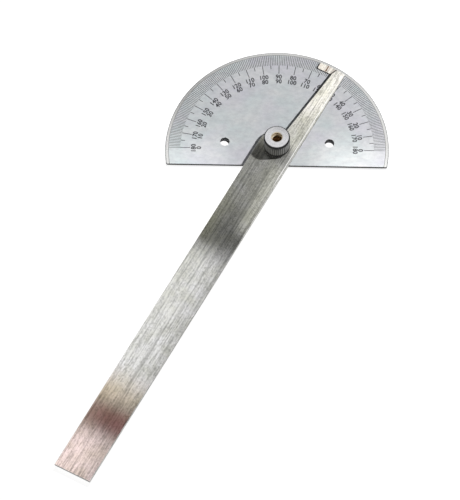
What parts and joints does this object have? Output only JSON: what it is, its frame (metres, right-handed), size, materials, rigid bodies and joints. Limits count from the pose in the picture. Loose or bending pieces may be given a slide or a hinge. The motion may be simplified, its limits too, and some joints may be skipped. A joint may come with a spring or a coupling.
{
  "type": "bevel protractor",
  "caption": "Round-head steel protractor: a half-round graduated plate with a long arm that swings on a stud and is held by a knurled thumb nut.",
  "frame": {"origin": "on the pivot axis, at the back of the pivot stud's head", "axes": "+X along the head's base edge, +Y from the pivot to the top of the head's rim, +Z out of the graduated face along the pivot"},
  "size_m": [0.1219, 0.1857, 0.0113],
  "materials": {
    "head_steel": "satin with etched graduation",
    "arm_steel": "brushed lengthwise",
    "stud_brass": "turned",
    "washer_steel": "plain spring steel",
    "nut_nickel": "nickel plated brass, straight knurl"
  },
  "bodies": {
    "head": {"protractor_head": "head_steel", "pivot_stud": "stud_brass", "spring_washer": "washer_steel"},
    "arm": {"arm": "arm_steel"},
    "flat_washer": {"flat_washer": "washer_steel"},
    "thumb_nut": {"thumb_nut": "nut_nickel"}
  },
  "joints": [
    {"name": "arm_swing", "type": "hinge", "parent": "head", "child": "arm", "pos_m": [0, 0, 0.00255], "axis": [0, 0, 1], "continuous": true},
    {"name": "washer_lift", "type": "slide", "parent": "head", "child": "flat_washer", "axis": [0, 0, 1], "range_m": [0, 0.0007], "deforming": ["spring_washer"]},
    {"name": "nut_turn", "type": "hinge", "parent": "flat_washer", "child": "thumb_nut", "pos_m": [0, 0, 0.00425], "axis": [0, 0, 1], "range_deg": [0, 360]}
  ],
  "couplings": [
    {"joint": "nut_turn", "follows": "washer_lift", "rad_per_m": 8976}
  ]
}
